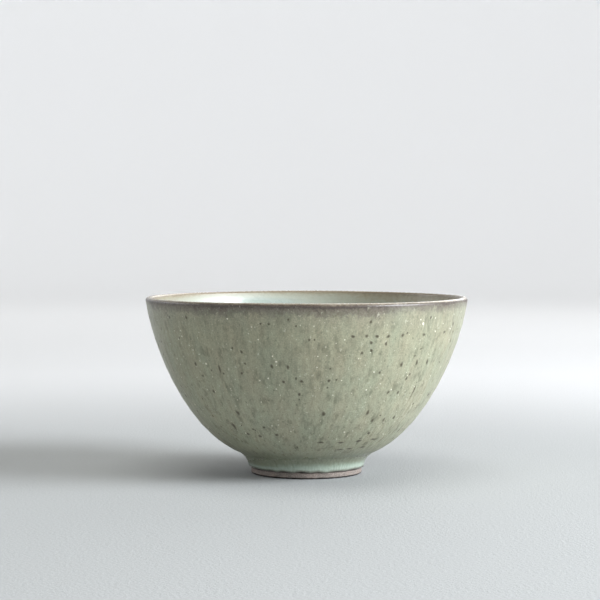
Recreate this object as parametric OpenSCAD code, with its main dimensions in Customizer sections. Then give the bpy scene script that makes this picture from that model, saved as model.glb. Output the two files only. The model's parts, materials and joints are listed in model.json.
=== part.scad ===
// Rice bowl of glazed stoneware on a turned foot ring.
// +Z is up. The origin is the middle of the foot, on the surface that the bowl stands on.
// Every piece is a ring or a disc turned about Z, so each one is drawn as half a section.

/* [Bowl] */
// Widest outside diameter, just under the top of the lip
rim_d = 120; // [100:1:146]
// Overall height, from the table to the top of the lip
bowl_h = 66; // [55:1:80]
// Slope of the outer wall where it leaves the foot, in degrees from level
foot_slope = 23.5; // [18:0.5:30]
// How far the wall goes on along that slope before it turns upwards
low_reach = 19; // [14:0.5:24]
// Slope of the outer wall at the lip, in degrees from level
lip_slope = 81.3; // [74:0.1:86]
// How far down from the lip the wall keeps that slope before it turns inwards
high_reach = 21.2; // [15:0.1:26]

/* [Wall] */
// Thickness of the clay at the lip
lip_wall = 1.5; // [1.2:0.1:3]
// Thickness of the clay where the wall leaves the foot
low_wall = 4.4; // [3.4:0.1:5.4]
// Thickness of the clay floor on its axis
floor_t = 5.2; // [4:0.1:6.2]

/* [Well] */
// Radius of the sunk well in the middle of the inside
well_r = 28; // [23:0.5:34]
// Width of the rounded step around the well
well_step = 3; // [2:0.25:5]
// Rise of the well's floor from its middle to its edge
well_dish = 0.8; // [0.3:0.1:1.2]

/* [Foot] */
// Outside diameter of the foot ring where it stands
foot_d = 41.4; // [35:0.2:50]
// Width of the foot ring, from its outside to its recess
foot_wall = 4.2; // [3:0.1:6]
// Height at which the outside of the foot starts to curve into the wall
neck_z = 1.2; // [0.9:0.1:2]
// Radius of the hollow curve between the foot and the wall
neck_r = 8.2; // [6.8:0.1:10]
// Depth of the recess under the floor, as glazed
recess_h = 6; // [4.8:0.1:7]
// Rounding of the foot ring's two standing edges
foot_edge = 0.7; // [0.3:0.1:0.8]

/* [Glaze] */
// Thickness of the glaze on the walls
coat = 0.4; // [0.25:0.05:0.6]
// Thickness of the glaze that has pooled in the middle of the well
pool_t = 0.9; // [0.5:0.1:1.4]
// Thickness of the roll of glaze at its lower edge, above the bare band
roll_t = 0.6; // [0.4:0.05:0.8]
// Height of the bare clay band at the bottom of the foot, inside and outside
bare_h = 2.6; // [2.2:0.1:3.6]
// Depth of the dark glaze band over the lip, inside and outside
lip_band = 3.2; // [2:0.1:6]

/* [Hidden] */
$fn = 96;

// Straight steps in each stretch of a section
WALL_STEPS = 26;
LIP_STEPS = 10;
STEP_STEPS = 8;
DISH_STEPS = 6;
EDGE_STEPS = 5;
BAND_STEPS = 4;

// Colours
CLAY = [0.45, 0.41, 0.38];
OLIVE = [0.57, 0.58, 0.50];
LIP_BROWN = [0.38, 0.33, 0.31];
PALE_BLUE_GREEN = [0.70, 0.75, 0.70];
GREY_GREEN = [0.55, 0.58, 0.51];
CELADON = [0.52, 0.60, 0.52];

foot_r = foot_d / 2;
recess_r = foot_r - foot_wall;
// Level face where the clay body and the foot ring meet
joint_z = recess_h + coat;
// Clay floor of the well, on the axis
floor_z = joint_z + floor_t;

// Unit vector at an angle from level, and the outward normal beside it
function along(a) = [cos(a), sin(a)];
function outward(a) = [sin(a), -cos(a)];

// Middle of the lip's round edge: the glazed lip just reaches rim_d and bowl_h
lip_c = [rim_d / 2 - coat - lip_wall / 2, bowl_h - coat - lip_wall / 2];

// Hollow curve at the neck: its middle, and its angles where it starts, where the bare band
// ends, where the foot ring meets the clay body and where the wall begins
neck_c = [foot_r + neck_r, neck_z];
function neck_angle_at(z) = 180 - asin((z - neck_z) / neck_r);
function neck_at(a, lift) = neck_c + (neck_r - lift) * along(a);
neck_start = 180;
bare_a = neck_angle_at(bare_h);
joint_a = neck_angle_at(joint_z);
neck_end = 90 + foot_slope;

// The outer wall is one cubic curve from the neck to the lip
wall_pts = [
    neck_at(neck_end, 0),
    neck_at(neck_end, 0) + low_reach * along(foot_slope),
    lip_c + lip_wall / 2 * outward(lip_slope) - high_reach * along(lip_slope),
    lip_c + lip_wall / 2 * outward(lip_slope)
];
function cubic(p, t) =
    pow(1 - t, 3) * p[0] + 3 * pow(1 - t, 2) * t * p[1]
    + 3 * (1 - t) * t * t * p[2] + t * t * t * p[3];
function cubic_slope(p, t) =
    pow(1 - t, 2) * (p[1] - p[0]) + 2 * (1 - t) * t * (p[2] - p[1]) + t * t * (p[3] - p[2]);
function wall_normal(t) =
    let (d = cubic_slope(wall_pts, t))
    [d.y, -d.x] / norm(d);

// Outer and inner faces of the clay wall, each raised by lift away from the clay
function outer_at(t, lift) = cubic(wall_pts, t) + lift * wall_normal(t);
function clay_t(t) = low_wall + (lip_wall - low_wall) * t;
function inner_at(t, lift) = cubic(wall_pts, t) - (clay_t(t) + lift) * wall_normal(t);

// Place on a face, from 0 to 1, where it reaches a height or a radius, by halving
function outer_t_at(z, a = 0, b = 1, n = 30) =
    let (m = (a + b) / 2)
    n == 0 ? m : outer_at(m, coat).y < z ? outer_t_at(z, m, b, n - 1) : outer_t_at(z, a, m, n - 1);
function inner_t_at(z, a = 0, b = 1, n = 30) =
    let (m = (a + b) / 2)
    n == 0 ? m : inner_at(m, coat).y < z ? inner_t_at(z, m, b, n - 1) : inner_t_at(z, a, m, n - 1);
function well_t_at(r, a = 0, b = 1, n = 30) =
    let (m = (a + b) / 2)
    n == 0 ? m : inner_at(m, 0).x < r ? well_t_at(r, m, b, n - 1) : well_t_at(r, a, m, n - 1);

outer_band_t = outer_t_at(bowl_h - lip_band);
inner_band_t = inner_t_at(bowl_h - lip_band);
well_t = well_t_at(well_r);

// Whole run of steps from 0 to 1
function run(n) = [for (i = [0:n]) i / n];
function reversed(p) = [for (i = [len(p) - 1:-1:0]) p[i]];
// The same points without those that repeat the one before
function distinct(p) = [for (i = [0:len(p) - 1]) if (i == 0 || norm(p[i] - p[i - 1]) > 0.001) p[i]];

// Stretches of the section, all running from the foot to the lip and on to the well
function neck_run(a, b, lift, n) = [for (s = run(n)) neck_at(a + (b - a) * s, lift)];
function outer_run(a, b, lift, n) = [for (s = run(n)) outer_at(a + (b - a) * s, lift)];
function inner_run(a, b, lift, n) = [for (s = run(n)) inner_at(a + (b - a) * s, lift)];
function lip_run(lift) = [
    for (s = run(LIP_STEPS))
        lip_c + (lip_wall / 2 + lift) * along(lip_slope - 90 + 180 * s)
];

// The step around the well: a quadratic curve from the wall to the dished floor
function step_run(wall_lift, floor_lift) =
    let (
        top = inner_at(well_t, wall_lift),
        foot = [well_r - well_step, floor_z + well_dish + floor_lift],
        knee = [well_r - well_step / 3, foot.y + well_dish / 2]
    )
    [for (s = run(STEP_STEPS))
        pow(1 - s, 2) * top + 2 * (1 - s) * s * knee + s * s * foot];
// The floor of the well, from its edge to the axis
function dish_run(floor_lift) = [
    for (i = [1:DISH_STEPS])
        let (s = 1 - i / DISH_STEPS)
        [(well_r - well_step) * s, floor_z + well_dish * s * s + floor_lift]
];

// Turns a half section about Z
module turned(section) {
    rotate_extrude() polygon(distinct(section));
}

// Wall and floor of the bowl, thrown in one piece
module clay_body() {
    color(CLAY) turned(concat(
        neck_run(joint_a, neck_end, 0, BAND_STEPS),
        outer_run(0, outer_band_t, 0, WALL_STEPS),
        outer_run(outer_band_t, 1, 0, BAND_STEPS),
        lip_run(0),
        reversed(inner_run(inner_band_t, 1, 0, BAND_STEPS)),
        reversed(inner_run(well_t, inner_band_t, 0, WALL_STEPS)),
        step_run(0, 0),
        dish_run(0),
        [[0, joint_z]]
    ));
}

// Turned ring that the bowl stands on
module foot_ring() {
    color(CLAY) turned(concat(
        [for (s = run(EDGE_STEPS))
            [foot_r - foot_edge, foot_edge] + foot_edge * along(-90 + 90 * s)],
        neck_run(neck_start, bare_a, 0, BAND_STEPS),
        neck_run(bare_a, joint_a, 0, BAND_STEPS),
        [[recess_r, joint_z]],
        [for (s = run(EDGE_STEPS))
            [recess_r + foot_edge, foot_edge] + foot_edge * along(180 + 90 * s)]
    ));
}

// Ash glaze on the outside of the wall
module outer_glaze() {
    color(OLIVE) turned(concat(
        outer_run(0, outer_band_t, 0, WALL_STEPS),
        reversed(outer_run(0, outer_band_t, coat, WALL_STEPS))
    ));
}

// Thin dark glaze that wraps the lip
module lip_glaze() {
    color(LIP_BROWN) turned(concat(
        outer_run(outer_band_t, 1, coat, BAND_STEPS),
        lip_run(coat),
        reversed(inner_run(inner_band_t, 1, coat, BAND_STEPS)),
        inner_run(inner_band_t, 1, 0, BAND_STEPS),
        reversed(lip_run(0)),
        reversed(outer_run(outer_band_t, 1, 0, BAND_STEPS))
    ));
}

// Glaze on the inside of the wall, down to the well
module inner_glaze() {
    color(PALE_BLUE_GREEN) turned(concat(
        inner_run(well_t, inner_band_t, 0, WALL_STEPS),
        reversed(inner_run(well_t, inner_band_t, coat, WALL_STEPS))
    ));
}

// Glaze pooled over the step and the floor of the well
module well_glaze() {
    color(GREY_GREEN) turned(concat(
        step_run(0, 0),
        dish_run(0),
        reversed(dish_run(pool_t)),
        reversed(step_run(coat, pool_t))
    ));
}

// Roll of glaze gathered in the hollow of the neck, thicker at its lower edge
module foot_glaze_roll() {
    color(CELADON) turned(concat(
        neck_run(bare_a, joint_a, 0, BAND_STEPS),
        neck_run(joint_a, neck_end, 0, BAND_STEPS),
        [for (s = run(2 * BAND_STEPS))
            neck_at(neck_end + (bare_a - neck_end) * s, coat + (roll_t - coat) * s)]
    ));
}

// Glaze under the floor and on the inside of the foot, down to the bare band
module recess_glaze() {
    color(CELADON) turned([
        [0, joint_z], [recess_r, joint_z], [recess_r, bare_h],
        [recess_r - coat, bare_h + coat], [recess_r - coat, joint_z - 2 * coat],
        [recess_r - 2 * coat, joint_z - coat], [0, joint_z - coat]
    ]);
}

clay_body();
foot_ring();
outer_glaze();
lip_glaze();
inner_glaze();
well_glaze();
foot_glaze_roll();
recess_glaze();
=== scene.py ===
"""Rice bowl of glazed stoneware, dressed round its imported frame.

The bowl is one turned form. Its glaze is followed as a single line in half section: up the outside
from the bare foot, over the lip and down the inside to the middle of the well. Every glazed piece is
a stretch of that line, so colour and relief run on from one piece to the next without a break.

The bowl's lengths are in millimetres, and turned into metres where a mesh is written. The studio's
are in metres.
"""

from __future__ import annotations

import json
import logging
from dataclasses import dataclass
from enum import Enum

import bpy
import numpy as np
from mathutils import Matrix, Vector

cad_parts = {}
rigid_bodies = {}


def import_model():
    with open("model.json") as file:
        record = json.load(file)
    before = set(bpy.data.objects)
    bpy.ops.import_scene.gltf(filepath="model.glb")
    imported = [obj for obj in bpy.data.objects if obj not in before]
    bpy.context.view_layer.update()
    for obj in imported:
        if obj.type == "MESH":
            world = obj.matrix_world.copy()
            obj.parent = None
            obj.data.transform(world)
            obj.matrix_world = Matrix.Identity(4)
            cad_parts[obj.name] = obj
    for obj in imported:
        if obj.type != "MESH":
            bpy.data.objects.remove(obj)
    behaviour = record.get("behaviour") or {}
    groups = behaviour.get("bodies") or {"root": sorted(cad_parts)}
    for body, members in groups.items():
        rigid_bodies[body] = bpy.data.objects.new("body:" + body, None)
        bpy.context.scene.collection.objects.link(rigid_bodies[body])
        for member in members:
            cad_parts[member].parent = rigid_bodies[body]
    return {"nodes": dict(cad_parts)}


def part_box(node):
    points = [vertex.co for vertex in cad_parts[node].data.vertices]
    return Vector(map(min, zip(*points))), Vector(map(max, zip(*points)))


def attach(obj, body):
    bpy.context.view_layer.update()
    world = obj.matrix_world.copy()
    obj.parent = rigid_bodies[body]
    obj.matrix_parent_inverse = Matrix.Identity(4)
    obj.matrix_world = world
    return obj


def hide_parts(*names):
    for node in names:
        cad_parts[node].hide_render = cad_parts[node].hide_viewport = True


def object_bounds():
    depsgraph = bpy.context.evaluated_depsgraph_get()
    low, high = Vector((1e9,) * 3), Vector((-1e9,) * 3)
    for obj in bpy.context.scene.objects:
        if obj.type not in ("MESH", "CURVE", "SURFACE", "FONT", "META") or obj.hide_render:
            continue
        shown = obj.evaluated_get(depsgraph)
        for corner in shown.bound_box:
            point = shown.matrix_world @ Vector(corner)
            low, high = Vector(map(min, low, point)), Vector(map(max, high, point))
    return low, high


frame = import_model()
cad_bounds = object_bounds()

LOG = logging.getLogger("rice_bowl")
MM = 0.001
BODY = "root"
BAKE_MAP = "OFBake"

Array = np.ndarray
Triple = tuple[float, float, float]
Colour = Triple


def srgb(red: int, green: int, blue: int) -> Colour:
    """Turn a colour as seen on a screen, 0 to 255, into the linear values that shaders take.

    Formula: the screen's curve, straight near black and a power of 2.4 above that.

    Args:
        red: Red, 0 to 255.
        green: Green, 0 to 255.
        blue: Blue, 0 to 255.

    Returns:
        The linear colour, each part from 0 to 1.
    """
    seen = np.array([red, green, blue]) / 255
    linear = np.where(seen <= 0.04045, seen / 12.92, ((seen + 0.055) / 1.055) ** 2.4)
    return tuple(float(part) for part in linear)


# --------------------------------------------------------------------------------------------
# Form
# --------------------------------------------------------------------------------------------


def along(degrees: float | Array) -> Array:
    """Unit vector at an angle from level, in half section: (cosine, sine)."""
    turn = np.radians(degrees)
    return np.stack([np.cos(turn), np.sin(turn)], axis=-1)


def swung(theta: Array, radius: Array, height: Array) -> Array:
    """Places at angles round the axis, from their radii and heights."""
    places = (radius * np.cos(theta), radius * np.sin(theta), height)
    return np.stack(np.broadcast_arrays(*places), axis=-1)


def pairs(radius: Array, height: Array) -> Array:
    """Radii and heights side by side, one row for each point."""
    return np.stack([radius, height], axis=-1)


def ring_angles(around: int) -> Array:
    """Angles of the points round a ring, in one row."""
    return np.linspace(0, 2 * np.pi, around, endpoint=False)[None, :]


def lengths(path: Array) -> Array:
    """Distance of each point of a path from its start, measured along it."""
    return np.r_[0, np.cumsum(np.linalg.norm(np.diff(path, axis=0), axis=1))]


def box_mm(node: str) -> tuple[Array, Array]:
    """Lowest and highest corner of a CAD node, in millimetres."""
    low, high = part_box(node)
    return np.array(low) / MM, np.array(high) / MM


@dataclass(frozen=True)
class BowlForm:
    """Half section of the bowl: radii and heights in millimetres, angles in degrees from level."""

    # Sizes that the frame shows: the rim, the foot ring's top, the glaze's lower edge, the lower
    # edge of the dark lip and the well.
    rim_r: float
    height: float
    joint_z: float
    bare_z: float
    band_z: float
    well_r: float
    # Foot ring, and the hollow neck above it.
    foot_r: float = 20.7
    foot_wall: float = 4.2
    foot_edge: float = 0.7
    neck_z: float = 1.2
    neck_r: float = 8.2
    # Wall: its slope at each end, how far each slope pulls the curve, and its thickness there.
    foot_slope: float = 23.5
    low_reach: float = 19.0
    lip_slope: float = 81.3
    high_reach: float = 21.2
    lip_wall: float = 1.5
    low_wall: float = 4.4
    # Floor and well.
    floor_t: float = 5.2
    well_step: float = 3.0
    well_dish: float = 0.8
    # Glaze: over the wall, pooled in the well, and in the roll at the neck.
    coat: float = 0.4
    pool: float = 0.9
    roll: float = 0.6

    @classmethod
    def from_frame(cls) -> BowlForm:
        """Read the sizes that the frame's boxes show; the others are the design's own values."""
        low, high = (np.array(corner) / MM for corner in cad_bounds)
        return cls(
            rim_r=float(np.ptp([low[0], high[0]]) / 2),
            height=float(high[2]),
            joint_z=float(box_mm("foot_ring")[1][2]),
            bare_z=float(box_mm("foot_glaze_roll")[0][2]),
            band_z=float(box_mm("lip_glaze")[0][2]),
            well_r=float(box_mm("well_glaze")[1][0]),
        )

    @property
    def lip_centre(self) -> Array:
        """Middle of the lip's round edge."""
        inset = self.coat + self.lip_wall / 2
        return np.array([self.rim_r - inset, self.height - inset])

    @property
    def recess_r(self) -> float:
        """Radius of the recess inside the foot ring."""
        return self.foot_r - self.foot_wall

    @property
    def neck_end(self) -> float:
        """Angle on the neck's hollow curve where the wall begins."""
        return 90 + self.foot_slope

    @property
    def floor_z(self) -> float:
        """Height of the clay floor on the axis."""
        return self.joint_z + self.floor_t

    def neck_angle_at(self, z: float) -> float:
        """Angle on the neck's hollow curve at a height: 180 less the arcsine of the rise."""
        return 180 - float(np.degrees(np.arcsin((z - self.neck_z) / self.neck_r)))

    def neck(self, angle: Array, lift: float | Array) -> Array:
        """Points on the neck's hollow curve, which is an arc whose middle lies outside the clay.

        Args:
            angle: Angles on the arc, in degrees.
            lift: Distance out from the clay.

        Returns:
            Radii and heights, one row per angle.
        """
        centre = np.array([self.foot_r + self.neck_r, self.neck_z])
        return centre + (self.neck_r - np.asarray(lift))[..., None] * along(angle)

    def wall(self, t: Array) -> tuple[Array, Array]:
        """Outer face of the clay wall: one cubic curve from the neck to the lip.

        Formula: the cubic through its two ends, pulled by two inner points that lie along the
        slope at the foot and the slope at the lip; the normal is its derivative turned by a
        right angle.

        Args:
            t: Place on the curve, 0 at the neck and 1 at the lip.

        Returns:
            Points and outward unit normals, one row per value of t.
        """
        start = self.neck(np.array([self.neck_end]), 0.0)[0]
        end = self.lip_centre + self.lip_wall / 2 * along(self.lip_slope - 90)
        low = start + self.low_reach * along(self.foot_slope)
        high = end - self.high_reach * along(self.lip_slope)
        t = np.asarray(t)[:, None]
        point = (
            (1 - t) ** 3 * start
            + 3 * (1 - t) ** 2 * t * low
            + 3 * (1 - t) * t**2 * high
            + t**3 * end
        )
        slope = (1 - t) ** 2 * (low - start) + 2 * (1 - t) * t * (high - low) + t**2 * (end - high)
        normal = pairs(slope[:, 1], -slope[:, 0])
        return point, normal / np.linalg.norm(normal, axis=1, keepdims=True)

    def outside(self, t: Array, lift: float) -> Array:
        """Outer face of the wall, raised by lift."""
        point, normal = self.wall(t)
        return point + lift * normal

    def inside(self, t: Array, lift: float) -> Array:
        """Inner face of the wall, whose thickness thins evenly towards the lip, raised by lift."""
        point, normal = self.wall(t)
        thickness = self.low_wall + (self.lip_wall - self.low_wall) * np.asarray(t)[:, None]
        return point - (thickness + lift) * normal


class Mark(Enum):
    """Places that the glaze line passes, in order."""

    BARE_EDGE = 0
    NECK = 1
    OUTER_BAND = 2
    LIP_TOP = 3
    INNER_BAND = 4
    WELL_EDGE = 5
    AXIS = 6


@dataclass(frozen=True)
class GlazeLine:
    """The glazed surface in half section, as a function of the distance s along it."""

    s: Array
    point: Array
    normal: Array
    marks: dict[Mark, float]

    # Points worked out on each run, spacing of the line's own samples, and the distance under
    # which two points are one.
    WALL_POINTS = 400
    NECK_POINTS = 80
    LIP_POINTS = 120
    STEP = 0.1
    SAME = 1e-6
    # Running mean round the well's edge: its spread and reach, the middle of its stretch past the
    # edge, the half length of the stretch and the length over which it fades out.
    SOFTEN = 1.1
    SOFT_REACH = 4.0
    SOFT_PAST = 1.5
    SOFT_HALF = 8.0
    SOFT_FADE = 5.0

    @classmethod
    def trace(cls, form: BowlForm) -> GlazeLine:
        """Follow the glaze from the bare foot, over the lip and down to the axis.

        Args:
            form: The bowl's half section.

        Returns:
            The line, sampled evenly, with its normals and marks.
        """
        fine = np.linspace(0, 1, cls.WALL_POINTS)
        t_well = cls._crossing(fine, form.inside(fine, 0.0)[:, 0], form.well_r)
        t_out = cls._crossing(fine, form.outside(fine, form.coat)[:, 1], form.band_z)
        t_in = cls._crossing(fine, form.inside(fine, form.coat)[:, 1], form.band_z)
        neck_turn = np.linspace(form.neck_angle_at(form.bare_z), form.neck_end, cls.NECK_POINTS)
        neck = form.neck(neck_turn, np.linspace(form.roll, form.coat, cls.NECK_POINTS))
        outer = form.outside(fine, form.coat)
        lip_turn = np.linspace(form.lip_slope - 90, form.lip_slope + 90, cls.LIP_POINTS)
        lip = form.lip_centre + (form.lip_wall / 2 + form.coat) * along(lip_turn)
        inner = form.inside(1 + (t_well - 1) * fine, form.coat)
        points = np.concatenate([neck, outer, lip, inner, cls._well(form, inner[-1])])
        points = points[np.r_[True, np.diff(lengths(points)) > cls.SAME]]
        s = lengths(points)
        even = np.arange(0, s[-1], cls.STEP)
        even = np.r_[even[:-1], s[-1]]
        line = pairs(*(np.interp(even, s, points[:, axis]) for axis in (0, 1)))
        length = {name: cls._nearest(line, even, place) for name, place in (
            (Mark.NECK, neck[-1]),
            (Mark.OUTER_BAND, form.outside(np.array([t_out]), form.coat)[0]),
            (Mark.LIP_TOP, form.lip_centre + (form.lip_wall / 2 + form.coat) * along(90.0)),
            (Mark.INNER_BAND, form.inside(np.array([t_in]), form.coat)[0]),
            (Mark.WELL_EDGE, inner[-1]),
        )}
        marks = {Mark.BARE_EDGE: 0.0, **length, Mark.AXIS: float(even[-1])}
        line = cls._softened(line, even, marks[Mark.WELL_EDGE])
        tangent = np.gradient(line, even, axis=0)
        normal = pairs(tangent[:, 1], -tangent[:, 0])
        normal /= np.linalg.norm(normal, axis=1, keepdims=True)
        normal[-1] = (0, 1)
        return cls(even, line, normal, marks)

    @staticmethod
    def _crossing(t: Array, values: Array, level: float) -> float:
        """Place where a rising run of values reaches a level."""
        return float(np.interp(level, values, t))

    @staticmethod
    def _nearest(line: Array, s: Array, place: Array) -> float:
        """Distance along the line of the sample nearest to a place."""
        return float(s[np.argmin(np.linalg.norm(line - place, axis=1))])

    @staticmethod
    def _well(form: BowlForm, top: Array) -> Array:
        """Step and dished floor of the well, as glazed.

        Formula: a quadratic curve from the wall to the edge of the floor, then a parabola that
        falls by the dish's depth to the axis.

        Args:
            form: The bowl's half section.
            top: Where the glazed wall ends.

        Returns:
            Radii and heights, from the wall to the axis.
        """
        edge_r = form.well_r - form.well_step
        edge_z = form.floor_z + form.well_dish + form.pool
        knee = np.array([form.well_r - form.well_step / 3, edge_z + form.well_dish / 2])
        edge = np.array([edge_r, edge_z])
        t = np.linspace(0, 1, 40)[:, None]
        step = (1 - t) ** 2 * top + 2 * (1 - t) * t * knee + t**2 * edge
        share = np.linspace(1, 0, 120)[1:]
        dish = pairs(edge_r * share, edge_z - form.well_dish * (1 - share**2))
        return np.concatenate([step, dish])

    @classmethod
    def _softened(cls, line: Array, s: Array, middle: float) -> Array:
        """Round the corners round the well, as flowing glaze does.

        Formula: a running mean with a bell-shaped weight, blended in within a few millimetres of
        the well's edge and left out elsewhere.

        Args:
            line: Radii and heights.
            s: Distance along the line.
            middle: Distance at the well's edge.

        Returns:
            The line with softer corners there.
        """
        half = round(cls.SOFT_REACH / cls.STEP)
        reach = np.arange(-half, half + 1) * cls.STEP
        weight = np.exp(-0.5 * (reach / cls.SOFTEN) ** 2)
        weight /= weight.sum()
        mean = pairs(*(np.convolve(line[:, axis], weight, mode="same") for axis in (0, 1)))
        away = np.abs(s - middle - cls.SOFT_PAST)
        share = np.clip((cls.SOFT_HALF - away) / cls.SOFT_FADE, 0, 1)[:, None]
        return line * (1 - share) + mean * share

    def at(self, s: Array) -> tuple[Array, Array]:
        """Point and unit normal at distances along the line."""
        point = pairs(*(np.interp(s, self.s, self.point[:, axis]) for axis in (0, 1)))
        normal = pairs(*(np.interp(s, self.s, self.normal[:, axis]) for axis in (0, 1)))
        return point, normal

    def outside_at(self, height: Array) -> Array:
        """Distance along the line where its outer stretch reaches a height."""
        rising = self.s <= self.marks[Mark.LIP_TOP]
        return np.interp(height, self.point[rising, 1], self.s[rising])

    def inside_at(self, radius: Array) -> Array:
        """Distance along the line where its inner stretch has a radius."""
        falling = self.s >= self.marks[Mark.INNER_BAND]
        return np.interp(radius, self.point[falling, 0][::-1], self.s[falling][::-1])


# --------------------------------------------------------------------------------------------
# Relief
# --------------------------------------------------------------------------------------------


@dataclass(frozen=True)
class Waves:
    """Seeded relief that closes on itself round the bowl.

    Formula: the sum of cosines of (k times the angle, plus q times the distance along the line,
    plus a random phase). k is a whole number of waves round the bowl, and q is two pi over the
    wavelength along the line. The sum is scaled so that its usual height is the one given.
    """

    seed: int
    count: int
    round_waves: tuple[int, int]
    along_mm: tuple[float, float]
    height: float

    def __call__(self, theta: Array, s: Array) -> Array:
        """Height of the relief at angles and distances along the line, in millimetres.

        Args:
            theta: Angles round the bowl.
            s: Distances along the line.

        Returns:
            Heights in millimetres.
        """
        rng = np.random.default_rng(self.seed)
        k = rng.integers(self.round_waves[0], self.round_waves[1] + 1, self.count)
        q = 2 * np.pi / rng.uniform(*self.along_mm, self.count) * rng.choice([-1, 1], self.count)
        phase = rng.uniform(0, 2 * np.pi, self.count)
        total = np.zeros(np.broadcast(theta, s).shape)
        for wave in range(self.count):
            total += np.cos(k[wave] * theta + q[wave] * s + phase[wave])
        return self.height * np.sqrt(2 / self.count) * total


WOBBLE = Waves(seed=3, count=8, round_waves=(1, 4), along_mm=(70, 160), height=0.07)
THROWING = Waves(seed=11, count=14, round_waves=(0, 2), along_mm=(4.5, 9.0), height=0.022)
RUNS = Waves(seed=23, count=40, round_waves=(50, 150), along_mm=(18, 60), height=0.012)
PEEL = Waves(seed=31, count=48, round_waves=(60, 170), along_mm=(1.8, 5.0), height=0.013)
LIP_GRIT = Waves(seed=41, count=60, round_waves=(90, 330), along_mm=(1.0, 3.0), height=0.028)
ROLL_EDGE = Waves(seed=53, count=16, round_waves=(2, 26), along_mm=(400, 900), height=0.16)
TURNING = Waves(seed=61, count=30, round_waves=(0, 3), along_mm=(0.45, 1.3), height=0.020)
SCRAPING = Waves(seed=67, count=36, round_waves=(18, 70), along_mm=(0.9, 2.6), height=0.022)


@dataclass(frozen=True)
class Lean:
    """Stretch of the glaze where one tone gives way to the next sooner or later than elsewhere.

    Attributes:
        start: Mark, and distance past it in millimetres, where the shift sets in.
        rise: Millimetres over which it grows.
        end: Mark, and distance past it in millimetres, where the shift is gone.
        fall: Millimetres over which it fades before that.
        bells: Round the bowl, the middle and the half width of each bell curve in degrees, and
            how much sooner the next tone starts there, in millimetres.
    """

    start: tuple[Mark, float]
    rise: float
    end: tuple[Mark, float]
    fall: float
    bells: tuple[Triple, ...]

    def shift(self, theta: Array, s: Array, line: GlazeLine) -> Array:
        """Work out the shift.

        Formula: the bell curves over the angle are added up, then multiplied by a straight rise
        from the start and a straight fall to the end.

        Args:
            theta: Angles round the bowl.
            s: Distances along the line.
            line: The glaze line.

        Returns:
            Shifts in millimetres.
        """
        start, end = (line.marks[mark] + past for mark, past in (self.start, self.end))
        share = np.clip((s - start) / self.rise, 0, 1) * np.clip((end - s) / self.fall, 0, 1)
        total = 0.0
        for middle, spread, reach in self.bells:
            turn = np.degrees(np.angle(np.exp(1j * (theta - np.radians(middle)))))
            total = total + reach * np.exp(-((turn / spread) ** 2))
        return share * total


BLUE_NEAR_RIM = Lean(
    (Mark.LIP_TOP, 1.2), 3.2, (Mark.LIP_TOP, 52.0), 40.0, ((114, 32, 24.0), (-80, 45, 16.0))
)
NARROW_BAND = Lean(
    (Mark.LIP_TOP, -10.0), 4.5, (Mark.LIP_TOP, -1.0), 1.6,
    ((-18, 42, -2.0), (75, 40, -1.0), (-172, 22, -1.8)),
)
OLIVE_NECK = Lean(
    (Mark.BARE_EDGE, 0.8), 1.5, (Mark.NECK, 4.0), 5.0, ((-158, 40, 3.0), (20, 50, 1.0))
)
LEANS = (BLUE_NEAR_RIM, NARROW_BAND, OLIVE_NECK)


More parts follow.
